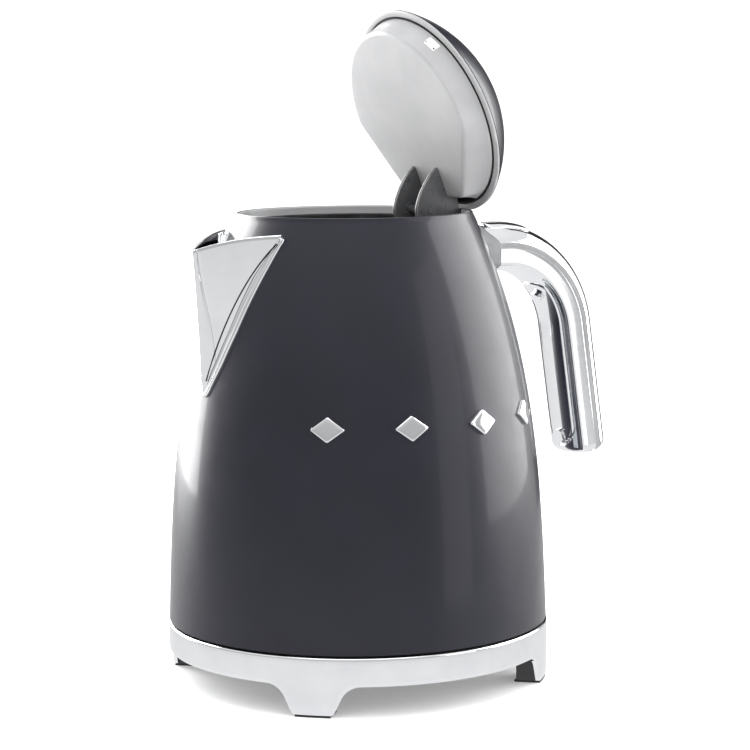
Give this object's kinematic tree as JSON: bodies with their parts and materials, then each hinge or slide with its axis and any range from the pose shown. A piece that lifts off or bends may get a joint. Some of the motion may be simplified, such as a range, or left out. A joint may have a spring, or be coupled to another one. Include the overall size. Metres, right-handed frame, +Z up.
{
  "type": "electric kettle",
  "caption": "Retro cordless electric kettle with a tapered painted body, chrome spout, handle and footed swivel base, and a domed lid held open.",
  "frame": {"origin": "on the body's axis, on the plane that the feet rest on", "axes": "+Z up, the spout points along -X, the handle along +X, and the XZ plane is the kettle's plane of symmetry"},
  "size_m": [0.2232, 0.172, 0.2994],
  "materials": {
    "slate_paint": "glossy dark slate grey paint",
    "chrome_plate": "polished chrome",
    "satin_steel": "satin stainless steel",
    "satin_plastic": "silver-grey satin plastic",
    "grey_plastic": "mid grey satin plastic",
    "dark_plastic": "dark grey moulded plastic",
    "arm_plastic": "dark grey moulded plastic",
    "white_plastic": "white plastic",
    "black_rubber": "matt rubber",
    "contact_brass": "plain brass",
    "clear_window": "clear level window"
  },
  "bodies": {
    "base": {"base_ring": "chrome_plate", "foot_pads": "black_rubber", "base_top_plate": "dark_plastic", "base_bottom_cover": "dark_plastic", "connector_post": "dark_plastic", "contact_rings": "contact_brass", "connector_pin": "contact_brass", "cord_gland": "black_rubber", "base_screws": "satin_steel", "terminal_block": "white_plastic"},
    "swivel": {"connector_guide_ring": "grey_plastic"},
    "kettle": {"body_shell": "slate_paint", "top_collar": "satin_plastic", "mouth_seal": "black_rubber", "spout": "chrome_plate", "side_studs": "chrome_plate", "element_plate": "satin_steel", "plate_seal": "black_rubber", "heating_element": "satin_steel", "lower_frame": "dark_plastic", "control_unit": "dark_plastic", "control_contacts": "contact_brass", "bottom_cover": "dark_plastic", "bottom_screws": "satin_steel", "steam_tube": "satin_steel", "switch_housing": "dark_plastic", "lever_bezel": "chrome_plate", "water_window": "clear_window", "window_gasket": "black_rubber", "filter_rails": "satin_steel", "hinge_bracket": "dark_plastic", "hinge_pin": "satin_steel", "hinge_spring": "satin_steel", "latch_pivot": "satin_steel", "latch_spring": "satin_steel", "handle_bracket": "grey_plastic", "handle_core": "dark_plastic", "handle_outer_shell": "chrome_plate", "handle_inner_shell": "chrome_plate", "handle_gasket": "grey_plastic", "handle_bolts": "satin_steel", "handle_plugs": "satin_steel", "button_spring": "satin_steel"},
    "lid": {"lid_dome": "slate_paint", "lid_ring": "satin_plastic", "lid_gasket": "black_rubber", "lid_inner_cover": "satin_plastic", "lid_frame": "grey_plastic", "lid_arms": "arm_plastic", "lid_catch_pin": "arm_plastic", "lid_clips": "white_plastic"},
    "button": {"release_button": "chrome_plate"},
    "rod": {"release_rod": "satin_steel"},
    "hook": {"latch_hook": "satin_steel"},
    "lever": {"switch_lever": "dark_plastic", "lever_knob": "chrome_plate"},
    "filter": {"filter_frame": "dark_plastic", "filter_mesh": "satin_steel"}
  },
  "joints": [
    {"name": "kettle_turn", "type": "hinge", "parent": "base", "child": "swivel", "pos_m": [0, 0, 0.023], "axis": [0, 0, 1], "continuous": true},
    {"name": "kettle_lift", "type": "slide", "parent": "swivel", "child": "kettle", "axis": [0, 0, 1], "range_m": [0, 0.12]},
    {"name": "lid_hinge", "type": "hinge", "parent": "kettle", "child": "lid", "pos_m": [0.051, 0, 0.2022], "axis": [0, 1, 0], "range_deg": [-67.4, 0], "stiffness_Nm_per_rad": 0.08, "springref_deg": 57.3},
    {"name": "button_press", "type": "slide", "parent": "kettle", "child": "button", "axis": [0, 0, -1], "range_m": [0, 0.0025], "stiffness_N_per_m": 400, "springref_m": -0.002, "deforming": ["button_spring"]},
    {"name": "rod_push", "type": "slide", "parent": "kettle", "child": "rod", "axis": [-1, 0, 0], "range_m": [0, 0.0013]},
    {"name": "hook_swing", "type": "hinge", "parent": "kettle", "child": "hook", "pos_m": [0.044, 0, 0.18], "axis": [0, 1, 0], "range_deg": [-12, 0]},
    {"name": "lever_toggle", "type": "hinge", "parent": "kettle", "child": "lever", "pos_m": [0.066, 0, 0.037], "axis": [0, 1, 0], "range_deg": [0, 14]},
    {"name": "filter_lift", "type": "slide", "parent": "kettle", "child": "filter", "axis": [0.3156, 0, 0.9489], "range_m": [0, 0.008]}
  ],
  "couplings": [
    {"joint": "rod_push", "follows": "button_press", "ratio": 0.48},
    {"joint": "hook_swing", "follows": "button_press", "rad_per_m": -80}
  ]
}
